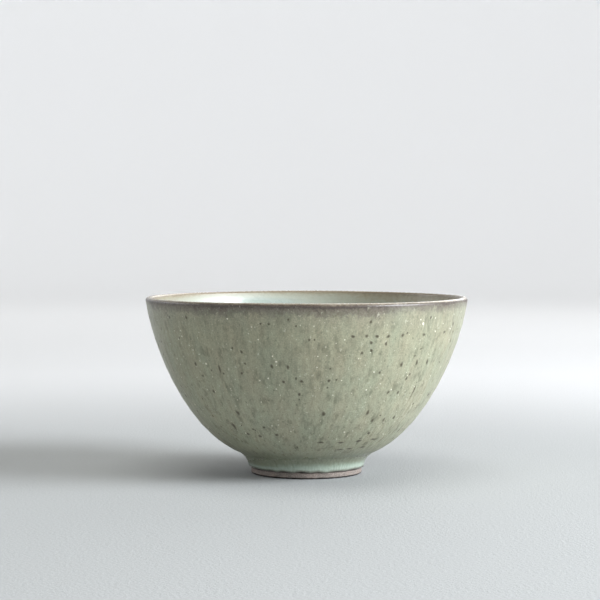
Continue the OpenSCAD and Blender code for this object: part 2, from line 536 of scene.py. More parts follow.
@dataclass(frozen=True)
class Skin:
    """The whole glazed surface, as a function of the angle round the bowl and the distance s."""

    form: BowlForm
    line: GlazeLine

    # Lengths over which runs fade below the dark band, grit fades from the lip's top, all relief
    # dies away to the axis, and the glaze thickens into the pool.
    RUN_FADE = 4.0
    GRIT_SPREAD = 2.2
    QUIET_R = 12.0
    POOL_RISE = 4.0
    # Runs and peel inside, as shares of those outside.
    INNER_RUNS = 0.15
    INNER_PEEL = 0.35
    # Share of the glaze's thickness that a coat has, and the power that its pattern tapers by.
    BEDDING = 0.93
    OUTER_TAPER = 0.4

    def relief(self, theta: Array, s: Array) -> Array:
        """Height of the glaze above its even line.

        Formula: the slow wobble, throwing rings, runs and peel are added up. Runs fade over the
        lip and are weak inside, and a grit comes in where the glaze is thin over the lip.

        Args:
            theta: Angles round the bowl.
            s: Distances along the line.

        Returns:
            Heights in millimetres.
        """
        marks = self.line.marks
        outside = np.clip((marks[Mark.OUTER_BAND] - s) / self.RUN_FADE, self.INNER_RUNS, 1)
        lip = np.exp(-(((s - marks[Mark.LIP_TOP]) / self.GRIT_SPREAD) ** 2))
        quiet = np.clip((marks[Mark.AXIS] - s) / self.QUIET_R, 0, 1)
        peel = self.INNER_PEEL + (1 - self.INNER_PEEL) * outside
        height = WOBBLE(theta, s) + THROWING(theta, s) * (1 - lip)
        height += RUNS(theta, s) * outside + PEEL(theta, s) * peel
        height += LIP_GRIT(theta, s) * lip
        return height * quiet

    def place(self, theta: Array, s: Array, lift: Array | float = 0.0) -> Array:
        """Points on the glazed surface, raised by lift.

        Args:
            theta: Angles round the bowl.
            s: Distances along the glaze line.
            lift: Extra height above the surface.

        Returns:
            Places in millimetres, with a last axis of three.
        """
        point, normal = self.line.at(s)
        out = self.relief(theta, s) + lift
        radius = point[..., 0] + normal[..., 0] * out
        height = point[..., 1] + normal[..., 1] * out
        return swung(theta, radius, height)

    def backing(self, theta: Array, s: Array) -> Array:
        """Points just above the clay, under the glaze: the line lowered by nearly its thickness.

        Args:
            theta: Angles round the bowl.
            s: Distances along the line.

        Returns:
            Places in millimetres.
        """
        marks = self.line.marks
        depth = np.interp(
            s,
            [0, marks[Mark.NECK], marks[Mark.WELL_EDGE], marks[Mark.WELL_EDGE] + self.POOL_RISE],
            [self.form.roll, self.form.coat, self.form.coat, self.form.pool],
        )
        point, normal = self.line.at(s)
        point = point - normal * (self.BEDDING * depth)[..., None]
        return swung(theta, point[..., 0], point[..., 1])

    def girth(self, theta: Array, s: Array) -> Array:
        """Coordinates that a pattern in the glaze follows, in millimetres.

        Formula: outside, a circle that shrinks less than the bowl does towards the foot, so that
        runs draw together there; inside, a circle as wide as the bowl is; and the distance s,
        with the shifts of its tones, as the third coordinate.

        Args:
            theta: Angles round the bowl.
            s: Distances along the glaze line.

        Returns:
            Coordinates, with a last axis of three.
        """
        share = self.line.at(s)[0][..., 0] / self.form.rim_r
        power = np.where(s < self.line.marks[Mark.LIP_TOP], self.OUTER_TAPER, 1.0)
        shift = sum(lean.shift(theta, s, self.line) for lean in LEANS)
        return swung(theta, self.form.rim_r * share**power, s + shift)


# --------------------------------------------------------------------------------------------
# Meshes
# --------------------------------------------------------------------------------------------


@dataclass
class Turned:
    """Closed surface made of rings of points, which wraps from its last ring to its first.

    Attributes:
        name: The piece's name.
        rows: Places in millimetres, shape (rings, points round, 3).
        girth: Pattern coordinates, of the same shape.
        shown: How many of the first rings are on the visible side.
        poles_after: Ring after which the surface closes on the axis instead of going on.
        strips: How many strips the bake map is cut into round the bowl.
    """

    name: str
    rows: Array
    girth: Array
    shown: int
    poles_after: int | None = None
    strips: int = 2

    # Share of a strip's height for the hidden side, the least distance between rings that the bake
    # map shows, and the gap round a strip as a share of it.
    HIDDEN_SHARE = 0.1
    LEAST_STEP = 1e-3
    GAP = 0.004

    def build(self) -> bpy.types.Object:
        """Write the rings into a mesh object.

        Returns:
            The new object, at the origin, linked to the scene.
        """
        rings, around = self.rows.shape[:2]
        index = np.arange(rings * around).reshape(rings, around)
        following = np.roll(index, -1, axis=0)
        strips = np.arange(rings)
        if self.poles_after is not None:
            strips = np.delete(strips, self.poles_after)
        quads = np.stack(
            [index, np.roll(index, -1, 1), np.roll(following, -1, 1), following], axis=-1
        )[strips].reshape(-1, 4)
        points, girth = self.rows.reshape(-1, 3), self.girth.reshape(-1, 3)
        fans = np.empty((0, 3), int)
        if self.poles_after is not None:
            last = self.rows[self.poles_after]
            first = self.rows[(self.poles_after + 1) % rings]
            centres = np.array([[0, 0, last[:, 2].mean()], [0, 0, first[:, 2].mean()]])
            tops = np.array([[0, 0, self.girth[..., 2].max()]] * 2)
            points, girth = np.concatenate([points, centres]), np.concatenate([girth, tops])
            fans = self._fans(index, rings * around)
        mesh = write_mesh(self.name, points * MM, quads, fans)
        set_vectors(mesh, "girth", girth)
        self._mark_borders(mesh, around)
        self._lay_bake_map(mesh, strips, around)
        return link(self.name, mesh)

    def _fans(self, index: Array, first_pole: int) -> Array:
        """Triangles that close the two rings beside the axis, each on its own pole.

        Args:
            index: Point numbers, one row for each ring.
            first_pole: Point number of the first pole.

        Returns:
            Three point numbers a row.
        """
        last = index[self.poles_after]
        first = index[(self.poles_after + 1) % len(index)]
        before = np.stack([last, np.roll(last, -1), np.full(len(last), first_pole)], axis=-1)
        after = np.stack([np.roll(first, -1), first, np.full(len(first), first_pole + 1)], axis=-1)
        return np.concatenate([before, after])

    def _mark_borders(self, mesh: bpy.types.Mesh, around: int) -> None:
        """Keep the edges sharp where the visible side meets the hidden one.

        Args:
            mesh: The mesh.
            around: Points round a ring.
        """
        ends = np.empty(len(mesh.edges) * 2, dtype=np.int32)
        mesh.edges.foreach_get("vertices", ends)
        ring = ends.reshape(-1, 2) // around
        border = np.isin(ring[:, 0], (0, self.shown - 1)) & (ring[:, 0] == ring[:, 1])
        sharp = mesh.attributes.new("sharp_edge", "BOOLEAN", "EDGE")
        sharp.data.foreach_set("value", border)

    def _lay_bake_map(self, mesh: bpy.types.Mesh, strips: Array, around: int) -> None:
        """Unroll the surface into level strips, one above another, for baking.

        Formula: across a strip the map follows the angle, and up a strip it follows the distance
        between rings. The hidden side is pressed into a tenth of each strip's height.

        Args:
            mesh: The mesh to give the map.
            strips: First ring of each band of faces.
            around: Points round a ring.
        """
        rings = len(self.rows)
        closed = np.concatenate([self.rows, self.rows[:1]])
        step = np.linalg.norm(np.diff(closed, axis=0), axis=2).mean(axis=1) + self.LEAST_STEP
        seen = np.arange(rings) < self.shown - 1
        step[seen] *= (1 - self.HIDDEN_SHARE) / step[seen].sum()
        step[~seen] *= self.HIDDEN_SHARE / step[~seen].sum()
        rise = np.r_[0, np.cumsum(step)]
        per_strip = around // self.strips
        column = np.arange(around)
        strip, local = column // per_strip, column % per_strip
        left, right = local / per_strip, (local + 1) / per_strip
        bottom = (strip + self._inset(rise[strips][:, None])) / self.strips
        top = (strip + self._inset(rise[strips + 1][:, None])) / self.strips
        left_u, right_u = (np.broadcast_to(self._inset(u), bottom.shape) for u in (left, right))
        corners = [(left_u, bottom), (right_u, bottom), (right_u, top), (left_u, top)]
        quads = np.stack([np.stack(corner, axis=-1) for corner in corners], axis=2).reshape(-1, 2)
        layers = [quads]
        if self.poles_after is not None:
            layers.append(self._fan_map(rise, left, right, strip))
        uv = np.concatenate(layers)
        mesh.uv_layers.new(name=BAKE_MAP).data.foreach_set("uv", uv.astype(np.float32).ravel())

    def _inset(self, share: Array) -> Array:
        """Shares of a strip, drawn in by the gap at both its ends."""
        return self.GAP + share * (1 - 2 * self.GAP)

    def _fan_map(self, rise: Array, left: Array, right: Array, strip: Array) -> Array:
        """Bake map of the two fans: each triangle takes its share of the band that closes.

        Args:
            rise: Height of each ring in its strip, from 0 to 1.
            left: Left end of each column in its strip.
            right: Right end of each column in its strip.
            strip: Number of the strip that each column is in.

        Returns:
            Map coordinates, one row for each corner.
        """
        low, high = rise[self.poles_after], rise[self.poles_after + 1]
        middle = (low + high) / 2
        centre = (left + right) / 2
        parts = []
        for first, second in ((low, middle), (high, middle)):
            corners = np.stack([left, right, centre], axis=-1)
            heights = np.broadcast_to(np.array([first, first, second]), corners.shape)
            if first > second:
                corners = np.stack([right, left, centre], axis=-1)
            v = (strip[:, None] + self._inset(heights)) / self.strips
            parts.append(np.stack([self._inset(corners), v], axis=-1).reshape(-1, 2))
        return np.concatenate(parts)


def write_mesh(name: str, points: Array, quads: Array, triangles: Array) -> bpy.types.Mesh:
    """Make a mesh from whole arrays.

    Args:
        name: The mesh's name.
        points: Places in metres, one row each.
        quads: Four point numbers a row.
        triangles: Three point numbers a row.

    Returns:
        The mesh, shaded smooth.
    """
    mesh = bpy.data.meshes.new(name)
    corners = np.concatenate([quads.ravel(), triangles.ravel()]).astype(np.int32)
    starts = np.concatenate(
        [np.arange(len(quads)) * 4, quads.size + np.arange(len(triangles)) * 3]
    ).astype(np.int32)
    mesh.vertices.add(len(points))
    mesh.vertices.foreach_set("co", points.astype(np.float32).ravel())
    mesh.loops.add(len(corners))
    mesh.loops.foreach_set("vertex_index", corners)
    mesh.polygons.add(len(starts))
    mesh.polygons.foreach_set("loop_start", starts)
    mesh.update(calc_edges=True)
    mesh.shade_smooth()
    return mesh


def set_vectors(mesh: bpy.types.Mesh, name: str, values: Array) -> None:
    """Store a vector for each point of a mesh."""
    layer = mesh.attributes.new(name, "FLOAT_VECTOR", "POINT")
    layer.data.foreach_set("vector", values.astype(np.float32).ravel())


def set_numbers(mesh: bpy.types.Mesh, name: str, values: Array) -> None:
    """Store a number for each point of a mesh."""
    layer = mesh.attributes.new(name, "FLOAT", "POINT")
    layer.data.foreach_set("value", values.astype(np.float32).ravel())


def link(name: str, data: bpy.types.ID) -> bpy.types.Object:
    """Put a mesh, a light or a camera into the scene as an object at the origin."""
    made = bpy.data.objects.new(name, data)
    bpy.context.scene.collection.objects.link(made)
    return made


def settle(
    piece: bpy.types.Object, material: bpy.types.Material, slot: str, *nodes: str
) -> None:
    """Dress a piece, ride it on the bowl, hide the CAD nodes it stands for, and log its slot.

    Args:
        piece: The finished piece.
        material: Its material.
        slot: Material slot of the record.
        nodes: CAD nodes that the piece replaces.
    """
    piece.data.materials.append(material)
    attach(piece, BODY)
    if nodes:
        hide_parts(*nodes)
    LOG.info("%s: %d faces, slot %s", piece.name, len(piece.data.polygons), slot)


# --------------------------------------------------------------------------------------------
# Finishes
# --------------------------------------------------------------------------------------------

Socket = bpy.types.NodeSocket

# A scale that changes nothing; as a colour, white.
EVEN = (1.0, 1.0, 1.0)


@dataclass(frozen=True)
class Pattern:
    """Cloudy pattern.

    Attributes:
        size: Width of a cloud, in the units of the coordinates that the pattern is laid on.
        detail: How many finer layers of clouds it has.
        rough: How strong the finer layers are.
        scale: Scale of the coordinates; less than 1 draws the clouds out along that axis.
    """

    size: float
    detail: float = 2.0
    rough: float = 0.5
    scale: Triple = EVEN


@dataclass(frozen=True)
class Blots:
    """Blots of a tint that cover a colour where a pattern is strong, or where it is weak.

    Attributes:
        pattern: The pattern.
        low: Value of the pattern where a blot begins.
        high: Value of the pattern where a blot covers most, which is under low for a weak one.
        share: How much it covers there.
        tint: The blots' colour.
    """

    pattern: Pattern
    low: float
    high: float
    share: float
    tint: Colour


class Sketch:
    """A material being drawn: each method adds its nodes and gives back their result."""

    IOR = 1.55
    MIX_FIRST, MIX_SECOND, MIX_RESULT = 6, 7, 2

    def __init__(self, name: str) -> None:
        """Start a material whose only nodes are its output and one shader."""
        self.material = bpy.data.materials.new(name)
        self.material.use_nodes = True
        self.tree = self.material.node_tree
        self.shader = self.tree.nodes["Principled BSDF"]
        self.shader.inputs["IOR"].default_value = self.IOR

    def node(self, kind: str, **settings: object) -> bpy.types.Node:
        """Add a node of a kind and set its properties."""
        made = self.tree.nodes.new(kind)
        for key, value in settings.items():
            setattr(made, key, value)
        return made

    def feed(self, socket: Socket, value: object) -> None:
        """Link a socket to another's result, or set it to a constant.

        Args:
            socket: The socket.
            value: A result, a number, a vector or a colour.
        """
        if isinstance(value, bpy.types.NodeSocket):
            self.tree.links.new(value, socket)
        elif isinstance(value, tuple) and len(value) == 3 and socket.type == "RGBA":
            socket.default_value = (*value, 1.0)
        else:
            socket.default_value = value

    def attribute(self, name: str, output: str = "Vector") -> Socket:
        """Read a value stored on the piece's points."""
        return self.node("ShaderNodeAttribute", attribute_name=name).outputs[output]

    def stretched(self, vector: Socket, scale: Triple) -> Socket:
        """Scale a set of coordinates."""
        made = self.node("ShaderNodeMapping")
        self.feed(made.inputs["Vector"], vector)
        made.inputs["Scale"].default_value = scale
        return made.outputs["Vector"]

    def clouds(self, vector: Socket, pattern: Pattern) -> Socket:
        """Lay a cloudy pattern on a set of coordinates; its values lie from 0 to 1.

        Args:
            vector: The coordinates.
            pattern: The pattern.

        Returns:
            Its values.
        """
        if pattern.scale != EVEN:
            vector = self.stretched(vector, pattern.scale)
        made = self.node("ShaderNodeTexNoise")
        self.feed(made.inputs["Vector"], vector)
        made.inputs["Scale"].default_value = 1 / pattern.size
        made.inputs["Detail"].default_value = pattern.detail
        made.inputs["Roughness"].default_value = pattern.rough
        return made.outputs["Fac"]

    def swinging(self, clouds: Socket, spread: float, swing: float) -> Socket:
        """Let clouds swing by an amount either way, held beyond a spread from their middle."""
        return self.fitted(clouds, 0.5 - spread, 0.5 + spread, (-swing, swing))

    def blotted(
        self, colour: object, clouds: Socket, blots: Blots, strength: Socket | None = None
    ) -> Socket:
        """Lay blots over a colour, as strongly as a strength from 0 up if one is given.

        Args:
            colour: The colour.
            clouds: Values of the blots' pattern.
            blots: The blots.
            strength: How strong they are, from 0.

        Returns:
            The blotted colour.
        """
        cover = self.fitted(clouds, blots.low, blots.high, (0, blots.share))
        if strength is not None:
            cover = self.product(cover, strength)
        return self.mixed(cover, colour, blots.tint)

    def fitted(
        self, value: Socket, low: float, high: float, to: tuple[float, float], soft: bool = False
    ) -> Socket:
        """Bring a value from the range low to high onto another range, held at its ends.

        Args:
            value: The value.
            low: Start of its range.
            high: End of its range.
            to: Ends of the other range.
            soft: Whether it eases in and out.

        Returns:
            The fitted value.
        """
        made = self.node("ShaderNodeMapRange", interpolation_type="SMOOTHSTEP" if soft else "LINEAR")
        self.feed(made.inputs["Value"], value)
        for key, number in zip(("From Min", "From Max", "To Min", "To Max"), (low, high, *to)):
            made.inputs[key].default_value = number
        return made.outputs["Result"]

    def parts(self, vector: Socket) -> tuple[Socket, Socket, Socket]:
        """Three values that a vector holds."""
        split = self.node("ShaderNodeSeparateXYZ")
        self.feed(split.inputs[0], vector)
        return split.outputs[0], split.outputs[1], split.outputs[2]

    def reach(self, vector: Socket, middle: Triple = (0.0, 0.0, 0.0)) -> Socket:
        """Distance of a place from a middle."""
        made = self.node("ShaderNodeVectorMath", operation="DISTANCE")
        self.feed(made.inputs[0], vector)
        made.inputs[1].default_value = middle
        return made.outputs["Value"]

    def grey(self, value: Socket) -> Socket:
        """The same value in all three colours."""
        made = self.node("ShaderNodeCombineXYZ")
        for key in ("X", "Y", "Z"):
            self.feed(made.inputs[key], value)
        return made.outputs["Vector"]

    def sum(self, first: Socket, second: Socket | float) -> Socket:
        """Add two values."""
        return self._math("ADD", first, second)

    def product(self, first: Socket, second: Socket | float) -> Socket:
        """Multiply two values."""
        return self._math("MULTIPLY", first, second)

    def _math(self, operation: str, first: Socket, second: Socket | float) -> Socket:
        """Add a node that does sums."""
        made = self.node("ShaderNodeMath", operation=operation)
        self.feed(made.inputs[0], first)
        self.feed(made.inputs[1], second)
        return made.outputs[0]

    def mixed(self, share: Socket | float, first: object, second: object, blend: str = "MIX") -> Socket:
        """Mix two colours.

        Args:
            share: Share of the second.
            first: The first colour.
            second: The second colour.
            blend: Way of mixing them.

        Returns:
            The mixed colour.
        """
        made = self.node("ShaderNodeMix", data_type="RGBA", blend_type=blend)
        self.feed(made.inputs[0], share)
        self.feed(made.inputs[self.MIX_FIRST], first)
        self.feed(made.inputs[self.MIX_SECOND], second)
        return made.outputs[self.MIX_RESULT]

    def ramp(self, value: Socket, stops: list[tuple[float, Colour]]) -> Socket:
        """Colour that follows a value from 0 to 1 through a list of stops.

        Args:
            value: The value.
            stops: Place and colour of each stop.

        Returns:
            The colour.
        """
        made = self.node("ShaderNodeValToRGB")
        self.feed(made.inputs["Fac"], value)
        elements = made.color_ramp.elements
        elements[0].position, elements[1].position = stops[0][0], stops[-1][0]
        elements[0].color, elements[1].color = (*stops[0][1], 1), (*stops[-1][1], 1)
        for position, colour in stops[1:-1]:
            elements.new(position).color = (*colour, 1)
        return made.outputs["Color"]

    def bump(self, height: Socket, depth: float, over: Socket | None = None) -> Socket:
        """Fine relief of a depth in metres, laid over another if one is given.

        Args:
            height: Height of the relief, as a share of its depth.
            depth: The depth, in metres.
            over: The other relief.

        Returns:
            The normal.
        """
        made = self.node("ShaderNodeBump")
        made.inputs["Strength"].default_value = 1.0
        made.inputs["Distance"].default_value = depth
        self.feed(made.inputs["Height"], height)
        if over is not None:
            self.feed(made.inputs["Normal"], over)
        return made.outputs["Normal"]

    def finish(self, colour: Socket, roughness: Socket | float, normal: Socket) -> bpy.types.Material:
        """Feed the shader and give back the material."""
        self.feed(self.shader.inputs["Base Color"], colour)
        self.feed(self.shader.inputs["Roughness"], roughness)
        self.feed(self.shader.inputs["Normal"], normal)
        return self.material


@dataclass(frozen=True)
class Tone:
    """Colour and roughness that the glaze has at a distance past a mark on its line."""

    mark: Mark
    past: float
    colour: Colour
    roughness: float


TONES = (
    # The first two tones darken the glaze's lower edge: partly its own iron-dark edge, partly painted
    # shade of its step over the clay.
    Tone(Mark.BARE_EDGE, 0.00, srgb(70, 62, 54), 0.50),
    Tone(Mark.BARE_EDGE, 0.50, srgb(84, 78, 66), 0.30),
    Tone(Mark.BARE_EDGE, 0.90, srgb(157, 169, 157), 0.10),
    Tone(Mark.BARE_EDGE, 2.60, srgb(150, 164, 150), 0.10),
    Tone(Mark.BARE_EDGE, 4.40, srgb(132, 139, 120), 0.18),
    Tone(Mark.NECK, 0.50, srgb(139, 143, 122), 0.30),
    Tone(Mark.NECK, 5.00, srgb(158, 160, 138), 0.34),
    Tone(Mark.NECK, 22.0, srgb(166, 168, 147), 0.37),
    Tone(Mark.LIP_TOP, -12.0, srgb(157, 158, 136), 0.37),
    Tone(Mark.LIP_TOP, -5.6, srgb(148, 148, 128), 0.37),
    Tone(Mark.LIP_TOP, -4.6, srgb(128, 126, 111), 0.40),
    Tone(Mark.LIP_TOP, -3.2, srgb(112, 107, 95), 0.40),
    Tone(Mark.LIP_TOP, -2.4, srgb(97, 89, 80), 0.38),
    Tone(Mark.LIP_TOP, -1.9, srgb(72, 63, 57), 0.34),
    Tone(Mark.LIP_TOP, -1.3, srgb(74, 65, 58), 0.28),
    Tone(Mark.LIP_TOP, -0.9, srgb(118, 106, 92), 0.20),
    Tone(Mark.LIP_TOP, -0.5, srgb(152, 144, 130), 0.15),
    Tone(Mark.LIP_TOP, 0.30, srgb(150, 141, 124), 0.15),
    Tone(Mark.LIP_TOP, 0.90, srgb(118, 106, 88), 0.22),
    Tone(Mark.LIP_TOP, 1.50, srgb(122, 110, 92), 0.28),
    Tone(Mark.LIP_TOP, 2.30, srgb(141, 133, 113), 0.42),
    Tone(Mark.LIP_TOP, 6.00, srgb(154, 153, 138), 0.50),
    Tone(Mark.LIP_TOP, 15.0, srgb(166, 170, 158), 0.44),
    Tone(Mark.LIP_TOP, 23.0, srgb(163, 173, 167), 0.30),
    Tone(Mark.LIP_TOP, 36.0, srgb(157, 169, 160), 0.16),
    Tone(Mark.WELL_EDGE, -5.0, srgb(148, 163, 149), 0.14),
    Tone(Mark.WELL_EDGE, 1.00, srgb(149, 161, 147), 0.14),
    Tone(Mark.WELL_EDGE, 7.00, srgb(149, 157, 140), 0.14),
    Tone(Mark.AXIS, -12.0, srgb(148, 153, 135), 0.14),
    Tone(Mark.AXIS, 0.00, srgb(150, 153, 135), 0.14),
)


@dataclass(frozen=True)
class Grain:
    """How lively the glaze is at a distance past a mark on its line.

    Attributes:
        mark: The mark.
        past: Distance past it, in millimetres.
        runs: Strength of the upright runs.
        sand: Strength of the fine grain.
        wander: How far the tones stray along the line, in millimetres.
        drift: Strength of the drift between green and brown.
        flecks: Strength of the pale and dark flecks and smudges.
        tooth: Depth of the fine relief, in millimetres.
    """

    mark: Mark
    past: float
    runs: float
    sand: float
    wander: float
    drift: float
    flecks: float
    tooth: float


GRAINS = (
    Grain(Mark.BARE_EDGE, 0.0, 0.03, 0.05, 0.15, 0.10, 0.10, 0.008),
    Grain(Mark.BARE_EDGE, 4.0, 0.05, 0.08, 0.80, 0.30, 0.60, 0.012),
    Grain(Mark.NECK, 3.0, 0.10, 0.18, 1.60, 0.80, 1.30, 0.045),
    Grain(Mark.NECK, 22.0, 0.13, 0.20, 1.60, 1.00, 1.15, 0.050),
    Grain(Mark.LIP_TOP, -12.0, 0.12, 0.21, 1.60, 1.00, 1.00, 0.055),
    Grain(Mark.LIP_TOP, -4.4, 0.10, 0.28, 2.00, 0.80, 0.90, 0.060),
    Grain(Mark.LIP_TOP, -1.7, 0.03, 0.34, 0.60, 0.30, 0.60, 0.060),
    Grain(Mark.LIP_TOP, -0.8, 0.02, 0.22, 0.22, 0.20, 0.40, 0.040),
    Grain(Mark.LIP_TOP, 1.2, 0.02, 0.18, 0.30, 0.20, 0.40, 0.030),
    Grain(Mark.LIP_TOP, 4.0, 0.02, 0.06, 2.60, 0.20, 0.16, 0.006),
    Grain(Mark.WELL_EDGE, -6.0, 0.02, 0.06, 2.80, 0.20, 0.16, 0.006),
    Grain(Mark.WELL_EDGE, 4.0, 0.00, 0.10, 1.60, 0.60, 0.50, 0.006),
    Grain(Mark.AXIS, 0.0, 0.00, 0.11, 1.60, 0.70, 0.55, 0.006),
)

GREENISH = srgb(112, 128, 112)
BROWNISH = srgb(146, 128, 106)
PALE_FLECK = srgb(214, 212, 192)
DARK_FLECK = srgb(84, 84, 64)

# Patterns in the glaze, on its girth in millimetres.
STREAK = Pattern(1.3, 3.0, 0.6, (1.0, 1.0, 0.08))
GRIT = Pattern(0.5, 2.0, 0.75)
FINE_STRAY = Pattern(1.6, 3.0, 0.6)
BROAD_STRAY = Pattern(13.0)
DRIFT = Pattern(6.0, 3.0, 0.55, (1.0, 1.0, 0.35))
SHEEN = Pattern(5.0)
SMUDGE = Pattern(2.4, 2.0, 0.6, (1.0, 1.0, 0.5))
FLECK = Pattern(0.9, 1.0, 0.5, (1.0, 1.0, 0.7))

GLAZE_BLOTS = (
    Blots(SMUDGE, 0.53, 0.72, 0.46, DARK_FLECK),
    Blots(FLECK, 0.68, 0.78, 0.45, PALE_FLECK),
    Blots(FLECK, 0.34, 0.25, 0.50, DARK_FLECK),
)


def along_line(line: GlazeLine, rows: tuple, key: str, s: Array) -> Array:
    """Read one value of a table of tones or grains at distances along the glaze line.

    Formula: straight between each row's place and the next.

    Args:
        line: The glaze line.
        rows: Rows that have a mark and a distance past it.
        key: Name of the value.
        s: Distances along the line.

    Returns:
        The value at each distance.
    """
    places = [line.marks[row.mark] + row.past for row in rows]
    return np.interp(s, places, [getattr(row, key) for row in rows])


def store_grain(piece: bpy.types.Object, line: GlazeLine, s: Array) -> None:
    """Store what the glaze is like at each point of a piece, for its material to read.

    Args:
        piece: The piece.
        line: The glaze line.
        s: Distance along the line of each point.
    """
    broad = [along_line(line, GRAINS, key, s) for key in ("runs", "sand", "wander")]
    fine = [along_line(line, GRAINS, key, s) for key in ("drift", "flecks", "tooth")]
    set_vectors(piece.data, "broad", np.stack(broad, axis=-1))
    set_vectors(piece.data, "fine", np.stack(fine, axis=-1))
    set_numbers(piece.data, "matt", along_line(line, TONES, "roughness", s))


@dataclass(frozen=True)
class GlazeFinish:
    """Fired glaze: tones that follow the glaze line, broken up by runs, smudges, flecks and sand.

    How strong each is comes from the piece's own points, so that every coat of glaze runs on
    into the next.

    Attributes:
        name: The material's name.
        spot: Colour at the heart of a speck, where the piece has specks.
        hold: How much of the glaze a speck's heart hides.
    """

    name: str
    spot: Colour = (0.0, 0.0, 0.0)
    hold: float = 0.9

    def material(self, line: GlazeLine) -> bpy.types.Material:
        """Draw the glaze's material.

        Args:
            line: The glaze line, which places the tones.

        Returns:
            The material.
        """
        sketch = Sketch(self.name)
        girth = sketch.attribute("girth")
        runs, sand, wander = sketch.parts(sketch.attribute("broad"))
        drift, flecks, tooth = sketch.parts(sketch.attribute("fine"))
        length = line.marks[Mark.AXIS]
        colour = sketch.ramp(self._place(sketch, girth, wander, length), self._stops(line, length))
        colour = self._drifted(sketch, colour, girth, drift)
        grit = sketch.clouds(girth, GRIT)
        for clouds, spread, strength in (
            (sketch.clouds(girth, STREAK), 0.2, runs),
            (grit, 0.22, sand),
        ):
            swing = sketch.product(sketch.swinging(clouds, spread, 1.0), strength)
            colour = sketch.mixed(1.0, colour, sketch.grey(sketch.sum(swing, 1.0)), "MULTIPLY")
        colour = self._flecked(sketch, colour, girth, flecks)
        core = sketch.fitted(sketch.attribute("core", "Fac"), 0.0, 0.8, (0, self.hold), soft=True)
        colour = sketch.mixed(core, colour, self.spot)
        uneven = sketch.swinging(sketch.clouds(girth, SHEEN), 0.2, 0.04)
        matt = sketch.sum(sketch.attribute("matt", "Fac"), uneven)
        normal = sketch.bump(sketch.product(grit, tooth), MM)
        return sketch.finish(colour, matt, normal)

    @staticmethod
    def _place(sketch: Sketch, girth: Socket, wander: Socket, length: float) -> Socket:
        """Share of the line's length at a point, with a wander that breaks up the bands.

        Args:
            sketch: The material being drawn.
            girth: Pattern coordinates.
            wander: How far the tones stray, in millimetres.
            length: Length of the line.

        Returns:
            A value from 0 to 1.
        """
        fine, broad = (
            sketch.swinging(sketch.clouds(girth, pattern), 0.25, 0.7)
            for pattern in (FINE_STRAY, BROAD_STRAY)
        )
        stray = sketch.product(sketch.sum(fine, broad), wander)
        distance = sketch.sum(sketch.parts(girth)[2], stray)
        return sketch.product(distance, 1 / length)

    @staticmethod
    def _drifted(sketch: Sketch, colour: Socket, girth: Socket, drift: Socket) -> Socket:
        """Let the colour drift between green and brown in broad, upright clouds."""
        share = sketch.fitted(sketch.clouds(girth, DRIFT), 0.32, 0.68, (0, 1))
        tint = sketch.mixed(share, GREENISH, BROWNISH)
        return sketch.mixed(sketch.product(drift, 0.30), colour, tint, "OVERLAY")

    @staticmethod
    def _flecked(sketch: Sketch, colour: Socket, girth: Socket, flecks: Socket) -> Socket:
        """Scatter soft dark smudges, then small pale and dark flecks.

        Args:
            sketch: The material being drawn.
            colour: The glaze's colour so far.
            girth: Pattern coordinates.
            flecks: Strength of the flecks.

        Returns:
            The flecked colour.
        """
        clouds = {pattern: sketch.clouds(girth, pattern) for pattern in (SMUDGE, FLECK)}
        for blots in GLAZE_BLOTS:
            colour = sketch.blotted(colour, clouds[blots.pattern], blots, flecks)
        return colour

    @staticmethod
    def _stops(line: GlazeLine, length: float) -> list[tuple[float, Colour]]:
        """Stops of the colour ramp, as shares of the line's length."""
        return [((line.marks[tone.mark] + tone.past) / length, tone.colour) for tone in TONES]


# Patterns in the clay, on its places in millimetres.
SAND = Pattern(0.4, 3.0, 0.7)
TOOL_LINE = Pattern(0.45, 2.0, 0.5, (0.15, 0.15, 1.6))
SCRAPE = Pattern(1.1, 3.0, 0.65, (0.5, 0.5, 1.0))
BLUSH = Pattern(5.0)


